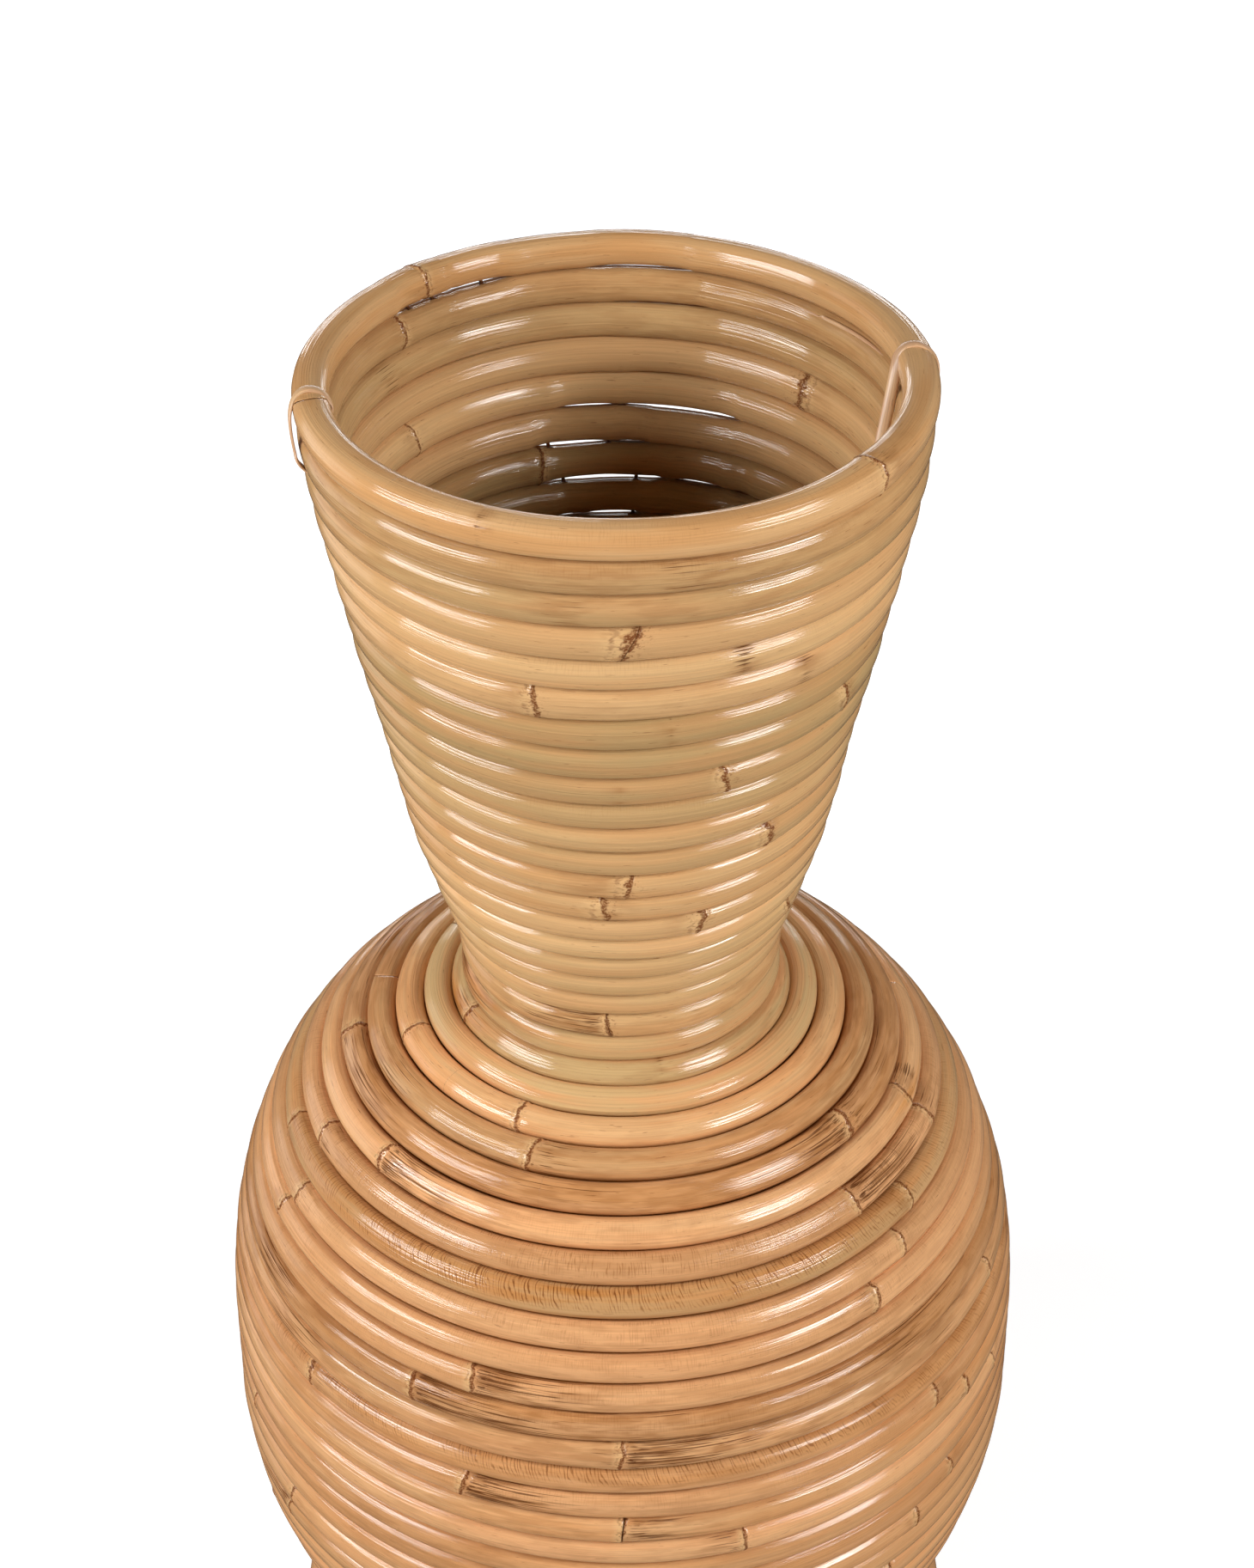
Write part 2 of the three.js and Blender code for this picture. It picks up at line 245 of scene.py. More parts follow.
TIMES = {"operation": "MULTIPLY"}
PLUS_TIMES = {"operation": "MULTIPLY_ADD"}
SMOOTH = {"interpolation_type": "SMOOTHSTEP"}
TINT = {"data_type": "RGBA"}
SHADE = {"data_type": "RGBA", "blend_type": "MULTIPLY"}

# Spots in the skin: length along and width across in millimetres, detail, where in the noise they
# begin and end, and the share there where it isn't 0 and 1
SPOTS = {
    "wash": (16, 3, 2.0, 0.4, 0.62),
    "dashes": (7, 0.5, 2.0, 0.68, 0.74, 0.0, 0.7),
    "fine_patches": (20, 3, 2.0, 0.34, 0.58),
    "fine_breaks": (1.6, 5, 1.0, 0.38, 0.52),
    "coarse_patches": (26, 6, 2.0, 0.3, 0.5),
    "coarse_breaks": (1.5, 8, 1.0, 0.36, 0.6, 0.2, 1.0),
    "scar_grit": (0.7, 0.6, 1.0, 0.34, 0.58, 0.45, 1.0),
    "second_scar": (3, 1.5, 1.0, 0.46, 0.6),
    "flakes": (4.5, 1.8, 2.0, 0.36, 0.5),
    "specks": (1.1, 0.7, 1.0, 0.59, 0.66),
}

# What a lighter or darker cane multiplies its colour by: paler canes are less yellow, darker more
DARKEST = (0.62, 0.58, 0.5, 1.0)
PALEST = (1.38, 1.42, 1.52, 1.0)


def add_node(tree, kind, inputs=(), output=0, **settings):
    """Adds a shader node with its settings and inputs or links, and gives back an output."""
    node = tree.nodes.new("ShaderNode" + kind)
    for name, value in settings.items():
        setattr(node, name, value)
    for name, value in inputs.items() if isinstance(inputs, dict) else enumerate(inputs):
        if isinstance(value, bpy.types.NodeSocket):
            tree.links.new(value, node.inputs[name])
        else:
            node.inputs[name].default_value = value
    return node.outputs[output] if node.outputs else None


def new_material(name):
    """A material without nodes, and the function that adds them."""
    material = bpy.data.materials.new(name)
    material.use_nodes = True
    material.node_tree.nodes.clear()
    return material, partial(add_node, material.node_tree)


def grain(add, place, along, across, detail=2.0):
    """Noise in spots of about these lengths in millimetres along and across the cane."""
    scaled = add("VectorMath", [place, (1 / along, 1 / across, 1 / across)], **TIMES)
    return add("TexNoise", {"Vector": scaled, "Scale": 1.0, "Detail": detail, "Roughness": 0.55})


def comb(add, along, wander, spacing, width):
    """Lines across a cane, this far apart and this wide in millimetres, that wander by noise."""
    along = add("Math", [wander, 3.0 * spacing, along], **PLUS_TIMES)
    away = add("Math", [along, spacing / 2], operation="PINGPONG")
    return add("MapRange", [away, 0.75 * width, 0.2 * width], **SMOOTH)


def painted(add, shade, layers):
    """Lays colours over a shade one after the other, each with its share."""
    for share, tint in layers:
        shade = add("Mix", {0: share, 6: shade, 7: (*tint, 1.0)}, 2, **TINT)
    return shade


def relief(add, heights):
    """The bump of patterns that each stand this many millimetres proud."""
    total = 0.0
    for pattern, height in heights:
        total = add("Math", [pattern, height, total], **PLUS_TIMES)
    return add("Bump", {"Strength": 1.0, "Distance": MM, "Height": total})


def rattan(name, base, shades):
    """Skin-on rattan cane, sanded lightly and sprayed with clear lacquer.

    Long ridges under the clear coat break each highlight into fine streaks. The skin itself has an
    index close to the lacquer's, so under the coat it barely reflects. Scars, peeled skin and dark
    streaks lie at the growth rings, and bending has cracked the skin of some canes across.
    """
    material, add = new_material(name)
    place, traits, marks = (
        add("Attribute", output="Vector", attribute_name=name)
        for name in ("cane", "traits", "marks")
    )
    ring, side = (add("Attribute", output="Fac", attribute_name=name) for name in ("ring", "side"))
    tone, green, ripe = (add("SeparateXYZ", [traits], i) for i in range(3))
    stain, fine_cracks, coarse_cracks = (add("SeparateXYZ", [marks], i) for i in range(3))

    # Slow changes of shade along a cane, and its fibres. Real fibres are 0.2 to 0.3 mm wide, too
    # fine to show, so they are drawn as ridges of 0.7 mm, threads of 1 mm and flutes of 2 mm.
    clouds = grain(add, place, 70, 7, 3.0)
    ridges = grain(add, place, 130, 0.42, 1.0)
    flutes = grain(add, place, 160, 1.3, 1.0)
    threads = grain(add, place, 60, 0.6, 2.0)
    greenish = add("MapRange", [clouds, 0.3, 0.62], **SMOOTH)
    orange = add("MapRange", [clouds, 0.62, 0.38], **SMOOTH)
    greener = add("Math", [green, greenish], **TIMES)
    riper = add("Math", [ripe, orange], **TIMES)
    shade = painted(add, (*base, 1.0), [(greener, shades.green), (riper, shades.ripe)])
    lightness = add("MapRange", [tone, 0.6, 1.4])
    toned = add("Mix", {0: lightness, 6: DARKEST, 7: PALEST}, 2, **TINT)
    thread_shade = add("MapRange", [threads, 0.3, 0.7, 0.93, 1.06], **SMOOTH)
    for factor in (thread_shade, toned):
        shade = add("Mix", {0: 1.0, 6: shade, 7: factor}, 2, **SHADE)

    spots = {
        name: add("MapRange", [grain(add, place, *numbers[:3]), *numbers[3:]], **SMOOTH)
        for name, numbers in SPOTS.items()
    }

    # Dark streaks about 0.8 mm wide and 60 mm long run from the rings, with blots of 2 mm by 9 mm
    # beside the rings themselves, a wash between the streaks, and sparse short dashes elsewhere
    limit = add("MapRange", [stain, 0.0, 1.0, 0.84, 0.49], **SMOOTH)
    streak = add("Math", [grain(add, place, 34, 0.5, 3.5), limit], operation="SUBTRACT")
    streak = add("MapRange", [streak, -0.025, 0.07], **SMOOTH)
    away = add("Math", [ring], operation="ABSOLUTE")
    close = add("Math", [add("MapRange", [away, 13.0, 1.5], **SMOOTH), stain], **TIMES)
    blot_limit = add("MapRange", [close, 0.0, 1.0, 0.82, 0.53])
    blot = add("Math", [grain(add, place, 5.5, 1.3, 4.0), blot_limit], operation="SUBTRACT")
    blot = add("MapRange", [blot, -0.02, 0.05], **SMOOTH)
    wash = add("Math", [stain, spots["wash"]], use_clamp=True, **TIMES)

    # Cracks across the skin 1 mm apart, and coarser, slanted ones 1.3 mm apart, both in patches.
    # Real ones are 0.1 mm wide, too fine to show, so they are drawn 0.35 and 0.4 mm wide.
    along, rise = (add("SeparateXYZ", [place], i) for i in (0, 2))
    fine = comb(add, along, grain(add, place, 2, 9, 1.0), 1.0, 0.36)
    slanted = add("Math", [rise, 0.45, along], **PLUS_TIMES)
    coarse = comb(add, slanted, grain(add, place, 3, 12, 1.0), 1.3, 0.42)
    fine_patch, coarse_patch = (
        add("Math", [amount, spots[name]], use_clamp=True, **TIMES)
        for amount, name in ((fine_cracks, "fine_patches"), (coarse_cracks, "coarse_patches"))
    )
    fine, coarse = (
        add("Math", [add("Math", [lines, spots[breaks]], **TIMES), patch], **TIMES)
        for lines, breaks, patch in (
            (fine, "fine_breaks", fine_patch), (coarse, "coarse_breaks", coarse_patch),
        )
    )

    # At each ring a scar 1 mm wide that wanders by as much, wider where the ring is stained, with
    # a fainter one 2 mm beside it, a few specks, and peeled skin 3 mm wide on one side
    wander = add("Math", [grain(add, place, 6.0, 2.6), 3.2, -1.6], **PLUS_TIMES)
    offset = add("Math", [ring, wander], operation="ADD")
    distance = add("Math", [offset], operation="ABSOLUTE")
    distance = add("Math", [close, -0.45, distance], **PLUS_TIMES)
    scar = add("MapRange", [distance, 0.72, 0.24], **SMOOTH)
    scar = add("Math", [scar, spots["scar_grit"]], **TIMES)
    second = add("Math", [offset, 1.9], operation="ADD")
    second = add("Math", [second], operation="ABSOLUTE")
    second = add("MapRange", [second, 0.6, 0.15], **SMOOTH)
    second = add("Math", [second, spots["second_scar"]], **TIMES)
    peel_start = add("MapRange", [offset, -4.5, -1.0], **SMOOTH)
    peel_end = add("MapRange", [offset, 0.2, -0.4], **SMOOTH)
    peeled = add("Math", [peel_start, peel_end], **TIMES)
    peeled = add("Math", [peeled, spots["flakes"]], **TIMES)
    near_ring = add("MapRange", [distance, 3.5, 0.6], **SMOOTH)
    specks = add("Math", [spots["specks"], near_ring], **TIMES)

    # Dust and lacquer lie where a cane touches the next, and painted shade darkens the groove
    # there:
    # up to 7 degrees round the section from there inside the vase, and up to 28 outside for the
    # shade below each seam
    outer = add("Math", [side, 0.25], **TIMES)
    inner = add("Math", [side, -1.0], **TIMES)
    dirt_and_shade_at_seam = add("Math", [outer, inner], operation="MAXIMUM")
    dirt_and_shade_at_seam = add("MapRange", [dirt_and_shade_at_seam, 7.0, 2.5], **SMOOTH)

    # The last layer, at the seams, is dirt and lacquer together with painted shade
    shade = painted(add, shade, [
        (add("Math", [pattern, share], **TIMES), tint) for pattern, share, tint in (
            (coarse_patch, 0.3, shades.ripe), (wash, 0.62, shades.crack),
            (peeled, 0.55, shades.peeled), (fine, 0.46, shades.crack), (coarse, 0.8, shades.ring),
            (spots["dashes"], 0.7, shades.ring), (streak, 0.76, shades.stain),
            (blot, 0.72, shades.stain), (specks, 0.5, shades.ring), (second, 0.32, shades.ring),
            (scar, 0.88, shades.ring), (dirt_and_shade_at_seam, 0.88, shades.seam),
        )
    ])

    # Fibres and scars stand proud. Where the skin came off, streaked or cracked, it lies lower.
    bump = relief(add, [
        (ridges, 0.17), (flutes, 0.2), (scar, 0.06), (peeled, -0.04), (streak, -0.02),
        (blot, -0.02), (coarse, -0.02), (fine, -0.02),
    ])
    # The marks are rough, and the lacquer sinks into them
    rough = streak
    for pattern in (blot, scar, specks, coarse, dirt_and_shade_at_seam):
        rough = add("Math", [rough, pattern], operation="MAXIMUM")
    shader = add("BsdfPrincipled", {
        "Base Color": shade, "Roughness": add("MapRange", [rough, 0.0, 1.0, 0.5, 0.75]),
        "IOR": 1.1, "Coat Weight": add("MapRange", [rough, 0.0, 1.0, 1.0, 0.03]),
        "Coat Roughness": 0.11, "Coat IOR": 1.55, "Normal": bump, "Coat Normal": bump,
    })
    add("OutputMaterial", [shader])
    return material


def peel_material(shades):
    """Split rattan peel, shaved flat and lacquered: long fibres, satin on the skin side."""
    material, add = new_material("split_peel")
    place = add("Attribute", output="Vector", attribute_name="cane")
    threads = grain(add, place, 30, 0.35, 3.0)
    thread_shade = add("MapRange", [threads, 0.3, 0.7, 0.8, 1.1], **SMOOTH)
    paler = add("MapRange", [grain(add, place, 12, 2.0), 0.4, 0.65, 0.0, 0.5], **SMOOTH)
    dashes = add("MapRange", [grain(add, place, 5, 0.5), 0.66, 0.74, 0.0, 0.6], **SMOOTH)
    shade = painted(add, (*shades.peel, 1.0), [(paler, shades.peeled)])
    shade = add("Mix", {0: 1.0, 6: shade, 7: thread_shade}, 2, **SHADE)
    shade = painted(add, shade, [(dashes, shades.ring)])
    shader = add("BsdfPrincipled", {
        "Base Color": shade, "Roughness": 0.48, "IOR": 1.5, "Coat Weight": 0.4,
        "Coat Roughness": 0.25, "Normal": relief(add, [(threads, 0.06)]),
    })
    add("OutputMaterial", [shader])
    return material


def plywood_material(shades):
    """Sanded birch plywood: faint grain on the face, and glue lines every 1.5 mm on the edge."""
    material, add = new_material("sanded_plywood")
    place = add("TexCoord", output="Object")
    place = add("VectorMath", [place, (1 / MM,) * 3], **TIMES)
    figure = grain(add, place, 60, 1.2, 4.0)
    plies = add("Math", [add("SeparateXYZ", [place], 2), 1.5], operation="DIVIDE")
    plies = add("Math", [plies], operation="FRACT")
    shade = (*shades.plywood, 1.0)
    for factor in (
        add("MapRange", [figure, 0.3, 0.7, 0.86, 1.06], **SMOOTH),
        add("MapRange", [plies, 0.12, 0.2, 0.72, 1.0], **SMOOTH),
    ):
        shade = add("Mix", {0: 1.0, 6: shade, 7: factor}, 2, **SHADE)
    shader = add("BsdfPrincipled", {
        "Base Color": shade, "Roughness": 0.75, "Normal": relief(add, [(figure, 0.05)]),
    })
    add("OutputMaterial", [shader])
    return material


def glue_material(shades):
    """Dried wood glue round a brad: brown, a little glossy, with dust in it."""
    material, add = new_material("dried_glue")
    place = add("TexCoord", output="Object")
    place = add("VectorMath", [place, (1 / MM,) * 3], **TIMES)
    dust = grain(add, place, 0.8, 0.8)
    dusty = add("MapRange", [dust, 0.4, 0.6], **SMOOTH)
    shader = add("BsdfPrincipled", {
        "Base Color": painted(add, (*shades.glue, 1.0), [(dusty, shades.ring)]),
        "Roughness": 0.4, "IOR": 1.5, "Normal": relief(add, [(dust, 0.1)]),
    })
    add("OutputMaterial", [shader])
    return material


def read_hoop(node):
    """Number, centre radius, height and cane radius of a CAD hoop, from one section."""
    points = np.array([v.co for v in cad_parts[node].data.vertices]) / MM
    plan = np.degrees(np.arctan2(points[:, 1], points[:, 0]))
    section = points[np.abs(plan - SECTION_ANGLE) < 0.1]
    radii = np.hypot(section[:, 0], section[:, 1]) / CORNER_GROWTH
    flat = np.unique(np.column_stack([radii, section[:, 2]]).round(3), axis=0)
    middle = flat.mean(0)
    flat = flat[np.argsort(np.arctan2(flat[:, 1] - middle[1], flat[:, 0] - middle[0]))]
    following = np.roll(flat, -1, axis=0)
    cross = flat[:, 0] * following[:, 1] - following[:, 0] * flat[:, 1]
    area = cross.sum() / 2
    centre = ((flat + following) * cross[:, None]).sum(0) / (6 * area)
    return {
        "node": node, "number": int(node[-2:]), "radius": centre[0], "height": centre[1],
        "cane": math.sqrt(area / math.pi),
    }


HOOPS = [read_hoop(node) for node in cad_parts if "_hoop_" in node]
HOOPS.sort(key=lambda hoop: hoop["number"])
RIM_HEIGHT = HOOPS[0]["height"]

# Around the slits the wall of these hoops leans out more: first and last, how much further in each
# lies than the one above, and plan angle and half width of the place. The two canes at a slit also
# part sideways.
LEANING_HOOPS = (5, 9)
LEANING_STEP = 0.5
LEANING_PLACE = (92, 42)
SLIT_BULGE = 0.8

# Sections of a cane: points round each, distances from a growth ring and from an end, least step
AROUND = 24
RING_STEPS = np.array([
    -9, -6, -4, -2.6, -1.7, -1.1, -0.7, -0.35, 0, 0.35, 0.7, 1.1, 1.7, 2.6, 4, 6, 9,
])
END_STEPS = np.array([0.25, 1.0, 2.0])
LEAST_STEP = 0.15

# Canes are pressed a little flat where they lie on each other: 2 would be round
SECTION_POWER = 2.6

# Distance to the nearest ring on a cane that has none
NO_RING = 500.0

# Spread of the tone between canes, and of the tone and the radius between a cane's own lengths
CANE_TONE_SPREAD = 0.02
LENGTH_TONE_SPREAD = 0.05
LENGTH_RADIUS_SPREAD = 0.09

# Each hoop's patterns start this far on, along and across, so that no two canes look alike
PATTERN_SHIFT = (1700.0, 31.0)

# The lowest hoop is cut flat at this height
FOOT_FLAT = 0.15


def bell(offset, width):
    """1 at no offset, and less than 0.4 beyond this width on either side."""
    return np.exp(-((offset / width) ** 2))


def turned(angle):
    """An angle in degrees brought to between -180 and 180."""
    return (angle + 180) % 360 - 180


def wave(angle, number, seed, drift=0.5):
    """A smooth closed wave of about 1 round a hoop, much the same on the next hoop."""
    rng = np.random.default_rng(seed)
    total = 0
    for turns in range(2, 9):
        phase = rng.uniform(0, 2 * math.pi) + rng.uniform(-drift, drift) * number
        total = total + np.sin(turns * np.radians(angle) + phase) / turns
    return total


def opening(angle, start, end):
    """1 in the middle of a slit, half at its ends, and 0 a little beyond them."""
    middle, half = (start + end) / 2, (end - start) / 2
    near = np.clip(1 - (np.abs(turned(angle - middle)) / (half * 1.08)) ** 2, 0, 1)
    return near ** 0.35


def axis_shift(height):
    """How far the vase's axis stands to the left at a height, for the neck's lean."""
    lean = bpy.context.scene.vase_canes.neck_lean / MM
    belly = HOOPS[BELLY - 1]["height"]
    return -lean * np.clip((height - belly) / (RIM_HEIGHT - belly), 0, 1)


def centre_line(hoop, angle):
    """Radius, height and cane radius round a hoop, after bending and stacking."""
    number = hoop["number"]
    sway = bpy.context.scene.vase_canes.wave / MM
    # Each wave is one that the neighbours share and a smaller one of the hoop's own
    outward = wave(angle, number, 11) + 0.45 * wave(angle, number, 100 + number)
    upward = 0.8 * wave(angle, number, 12) + 0.25 * wave(angle, number, 200 + number)
    radius = hoop["radius"] + sway * outward
    height = hoop["height"] + sway * upward
    cane = hoop["cane"] * (1 + 0.012 * wave(angle, number, 300 + number))
    if number == LAST_HOOP:
        height = hoop["height"] + 0 * angle
    for upper, start, end, width in SLITS:
        if number not in (upper, upper + 1):
            continue
        share = opening(angle, start, end)
        side = 1 if number == upper else -1
        cane = cane - width * share / 4
        height = height + side * width * share / 4
        radius = radius + side * SLIT_BULGE * share
    first, last = LEANING_HOOPS
    if first <= number <= last:
        middle, half = LEANING_PLACE
        step = ((first + last) / 2 - number) * LEANING_STEP
        radius = radius + step * bell(turned(angle - middle), half)
    return radius, height, cane


def joint_of(number):
    """Plan angle and slope of a hoop's joint."""
    if number in FRONT_JOINTS:
        return FRONT_JOINTS[number]
    return ((number * BACK_JOINT_STEP) % BACK_SIDES + 0.5) * SIDE_ANGLE, SCARF_SLOPE


def rings_of(hoop, rng):
    """Plan angle and streak length of a hoop's rings: those seen, and others where none shows."""
    number = hoop["number"]
    rings = [(angle, streak) for ring_hoop, angle, streak in RINGS if ring_hoop == number]
    if number <= SEEN_INSIDE:
        return rings
    spacing = bpy.context.scene.vase_canes.ring_spacing / MM
    hidden = (15, 165) if number <= BELLY else (0, 360)
    length = hoop["radius"] * math.radians(hidden[1] - hidden[0])
    degree = hoop["radius"] * math.pi / 180
    for _ in range(round(length / spacing)):
        angle = rng.uniform(*hidden)
        streak = rng.choice([-1, 1]) * rng.uniform(8, 70)
        if all(abs(turned(angle - other)) * degree > 0.4 * spacing for other, _ in rings):
            rings.append((angle, streak))
    return rings


def stations(length, ring_places):
    """Places of the sections along a cane: even steps, closer at the rings and the two ends."""
    canes = bpy.context.scene.vase_canes
    half_gap = canes.joint_gap / MM / 2
    even = np.arange(half_gap, length - half_gap, canes.section_step / MM)
    places = [even, [length - half_gap], half_gap + END_STEPS, length - half_gap - END_STEPS]
    places += [ring + RING_STEPS for ring in ring_places]
    places = np.unique(np.concatenate(places).round(2))
    places = places[(places >= half_gap) & (places <= length - half_gap)]
    return places[np.insert(np.diff(places) > LEAST_STEP, 0, True)]


def squared_section(around, upward, downward):
    """How far the skin lies from the centre of a cane that is pressed between two neighbours."""
    lower = upward - math.pi if downward is None else downward
    upper = lower + math.pi if upward is None else upward
    middle = math.remainder(upper - lower - math.pi, 2 * math.pi) / 2 + lower + math.pi
    turn = around - middle
    power = SECTION_POWER
    return (np.abs(np.cos(turn)) ** power + np.abs(np.sin(turn)) ** power) ** (-1 / power)


def side_of_section(around, upward, downward):
    """Degrees round the section to the nearest touching line, below 0 inside the vase."""
    nearest = np.full(len(around), 180.0)
    for line in (upward, downward):
        if line is not None:
            nearest = np.minimum(nearest, np.abs(turned(np.degrees(around - line))))
    if upward is None or downward is None:
        return nearest
    outside = (np.degrees(around - downward) % 360) < (math.degrees(upward - downward) % 360)
    return np.where(outside, nearest, -nearest)


def angle_to(hoop, other):
    """The angle round a hoop's section at which it touches another, or None where there is none."""
    if other is None:
        return None
    return math.atan2(other["height"] - hoop["height"], other["radius"] - hoop["radius"])


def tube_faces(rows, sides, first=0, flipped=False):
    """Quads round closed rows of points, and a cap on either end."""
    corners = first + np.arange(rows * sides).reshape(rows, sides)
    after = np.roll(corners, -1, axis=1)
    skin = [corners[:-1], corners[1:], after[1:], after[:-1]]
    caps = [corners[0], corners[-1][::-1]]
    if flipped:
        skin = [corners[:-1], after[:-1], after[1:], corners[1:]]
        caps = [cap[::-1] for cap in caps]
    return np.stack(skin, -1).reshape(-1, 4).tolist() + [cap.tolist() for cap in caps]


def cane_mesh(hoop, above, below):
    """One bent cane with its rings, its joint and the marks that its material draws."""
    canes = bpy.context.scene.vase_canes
    number = hoop["number"]
    rng = np.random.default_rng(1000 + number)
    joint, slope = joint_of(number)
    rings = rings_of(hoop, rng)
    length = 2 * math.pi * hoop["radius"]
    ring_places = [((angle - joint) % 360) / 360 * length for angle, _ in rings]
    places = stations(length, ring_places)
    angle = joint + places / length * 360
    radius, height, cane = centre_line(hoop, angle)

    # Distance to the nearest ring, and the tone and radius of each length between two rings
    offsets = np.array([places - ring for ring in ring_places] or [np.full(len(places), NO_RING)])
    if ring_places:
        offsets = (offsets + length / 2) % length - length / 2
    nearest = np.abs(offsets).argmin(0)
    distance = offsets[nearest, np.arange(len(places))]
    order = np.sort(ring_places) if ring_places else np.array([0.0])
    piece = np.searchsorted(order, places)
    shades = rng.normal(0, LENGTH_TONE_SPREAD, len(order) + 1)
    shades[-1] = shades[0]
    own = PALE_CANES.get(number, 0) - DARK_CANES.get(number, 0) + rng.normal(0, CANE_TONE_SPREAD)
    tone = 1 + own + shades[piece]
    thicker = rng.normal(0, LENGTH_RADIUS_SPREAD, len(order) + 1)
    thicker[-1] = thicker[0]

    # A ring swells over 7 mm, with a sharp lip on it and a groove beside that. Ends are rounded.
    swelling = canes.ring_swelling / MM
    cane = cane + thicker[piece] + swelling * (bell(distance, 7) + 0.55 * bell(distance, 0.55))
    cane = cane - swelling * 0.5 * bell(distance - 1.5, 0.9)
    from_end = np.minimum(places, length - places) - canes.joint_gap / MM / 2
    cane = cane - 0.22 * bell(from_end, 0.2)

    def along_from(plan_angle):
        return turned(angle - plan_angle) * math.pi / 180 * hoop["radius"]

    # Streaks lie all along a dirty cane, and run from a ring to one side only, where they fade.
    # Right beside a ring the scar takes their place.
    stain = 0.68 * DIRTY_CANES.get(number, 0) * np.clip(0.7 + 0.4 * wave(angle, number, 40), 0.2, 1)
    for row, (_, streak) in zip(offsets, rings):
        run = row * np.sign(streak)
        fade = np.where(run > -1, np.clip(1 - run / abs(streak), 0, 1), 0)
        stain = np.maximum(stain, fade ** 0.7 * min(1, 0.55 + abs(streak) / 150))
    stain = stain * (1 - 0.6 * bell(distance, 2.5))
    for patch_hoop, patch_angle, half, strength in SMUDGES:
        if patch_hoop == number:
            stain = np.maximum(stain, strength * bell(along_from(patch_angle), half))
    ripest = rng.uniform(0, 0.15 if number <= NECK_END else 0.3)
    ripe = np.full(len(places), RIPE_CANES.get(number, ripest))
    for patch_hoop, patch_angle, half in BLUSHES:
        if patch_hoop == number:
            ripe = np.maximum(ripe, bell(along_from(patch_angle), half))

    # Round the section: a little out of true, rings slanted, ends cut to the joint's slope
    around = np.arange(AROUND) / AROUND * 2 * math.pi
    tilt, curl = rng.uniform(0, 2 * math.pi, 2)
    lean = 0.9 * np.sin(around + tilt) + 0.45 * np.sin(2 * around + curl)
    upward, downward = angle_to(hoop, above), angle_to(hoop, below)
    squared = squared_section(around, upward, downward)
    oval = 1 + 0.01 * np.sin(2 * around[None, :] + places[:, None] / 60 + tilt)
    reach = cane[:, None] * squared * oval
    across = reach * np.cos(around)
    rise = reach * np.sin(around)
    along = bell(distance, 4.5)[:, None] * lean + bell(from_end, 9)[:, None] * slope * rise
    plan = np.radians(angle[:, None]) + along / hoop["radius"]
    out = radius[:, None] + across
    points = np.stack([out * np.cos(plan), out * np.sin(plan), height[:, None] + rise], -1)
    points[..., 0] += axis_shift(points[..., 2])
    if number == LAST_HOOP:
        points[..., 2] = np.maximum(points[..., 2], FOOT_FLAT)

    rows = len(places)
    mesh = bpy.data.meshes.new(hoop["node"])
    mesh.from_pydata((points.reshape(-1, 3) * MM).tolist(), [], tube_faces(rows, AROUND))
    mesh.shade_smooth()
    for cap in (-1, -2):
        mesh.polygons[cap].use_smooth = False

    def per_point(values):
        return np.broadcast_to(np.asarray(values, float).reshape(-1, 1), (rows, AROUND)).ravel()

    side = np.broadcast_to(side_of_section(around, upward, downward), (rows, AROUND)).ravel()
    place = np.stack([
        per_point(places + number * PATTERN_SHIFT[0]), across.ravel(),
        rise.ravel() + number * PATTERN_SHIFT[1],
    ], -1)
    # The cracks lie on a cane's upper side, and most at the front
    front = 0.5 + 0.5 * np.sin(np.radians(angle + 180))
    stretched = np.clip((np.sin(around) - 0.05) / 0.35, 0, 1)
    fine = FINE_CRACKS.get(number, 0) * front[:, None] * stretched
    coarse = COARSE_CRACKS.get(number, 0) * front[:, None] ** 2 * stretched
    green = np.full(len(places), GREEN_CANES.get(number, rng.uniform(0, 0.25)))
    traits = np.stack([per_point(tone), per_point(green), per_point(ripe)], -1)
    marks = np.stack([per_point(stain), fine.ravel(), coarse.ravel()], -1)
    for name, values in (
        ("cane", place), ("traits", traits), ("marks", marks), ("side", side),
        ("ring", per_point(distance / WIDE_SCARS.get(number, 1))),
    ):
        kind, field = ("FLOAT_VECTOR", "vector") if values.ndim == 2 else ("FLOAT", "value")
        layer = mesh.attributes.new(name, kind, "POINT")
        layer.data.foreach_set(field, values.ravel())
    return mesh


def new_piece(name, mesh, material, nodes=()):
    """Links a piece, gives it its material, and lets it stand for its CAD nodes."""
    piece = bpy.data.objects.new(name, mesh)
    bpy.context.scene.collection.objects.link(piece)
    mesh.materials.append(material)
    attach(piece, "root")
    if nodes:
        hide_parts(*nodes)
    return piece


def bend_hoops(numbers, material):
    """Makes the canes of these hoops, each in the place of its CAD node."""
    for number in numbers:
        hoop = HOOPS[number - 1]
        above = HOOPS[number - 2] if number > 1 else None
        below = HOOPS[number] if number < LAST_HOOP else None
        mesh = cane_mesh(hoop, above, below)
        new_piece(f"cane_{hoop['node']}", mesh, material, [hoop["node"]])


class VASE_OT_neck_canes(bpy.types.Operator):
    """Bends the rim hoop and the neck hoops from straw cane"""

    bl_idname = "vase.neck_canes"
    bl_label = "Bend neck canes"

    def execute(self, context):
        shades = context.scene.vase_colours
        straw = rattan("rattan_straw", shades.neck, shades)
        bend_hoops(range(1, NECK_END + 1), straw)
        return {"FINISHED"}


class VASE_OT_belly_canes(bpy.types.Operator):
    """Bends the shoulder, belly, waist and foot hoops from honey cane"""

    bl_idname = "vase.belly_canes"
    bl_label = "Bend belly canes"

    def execute(self, context):
        shades = context.scene.vase_colours
        honey = rattan("rattan_honey", shades.belly, shades)
        bend_hoops(range(THROAT, LAST_HOOP + 1), honey)
        return {"FINISHED"}


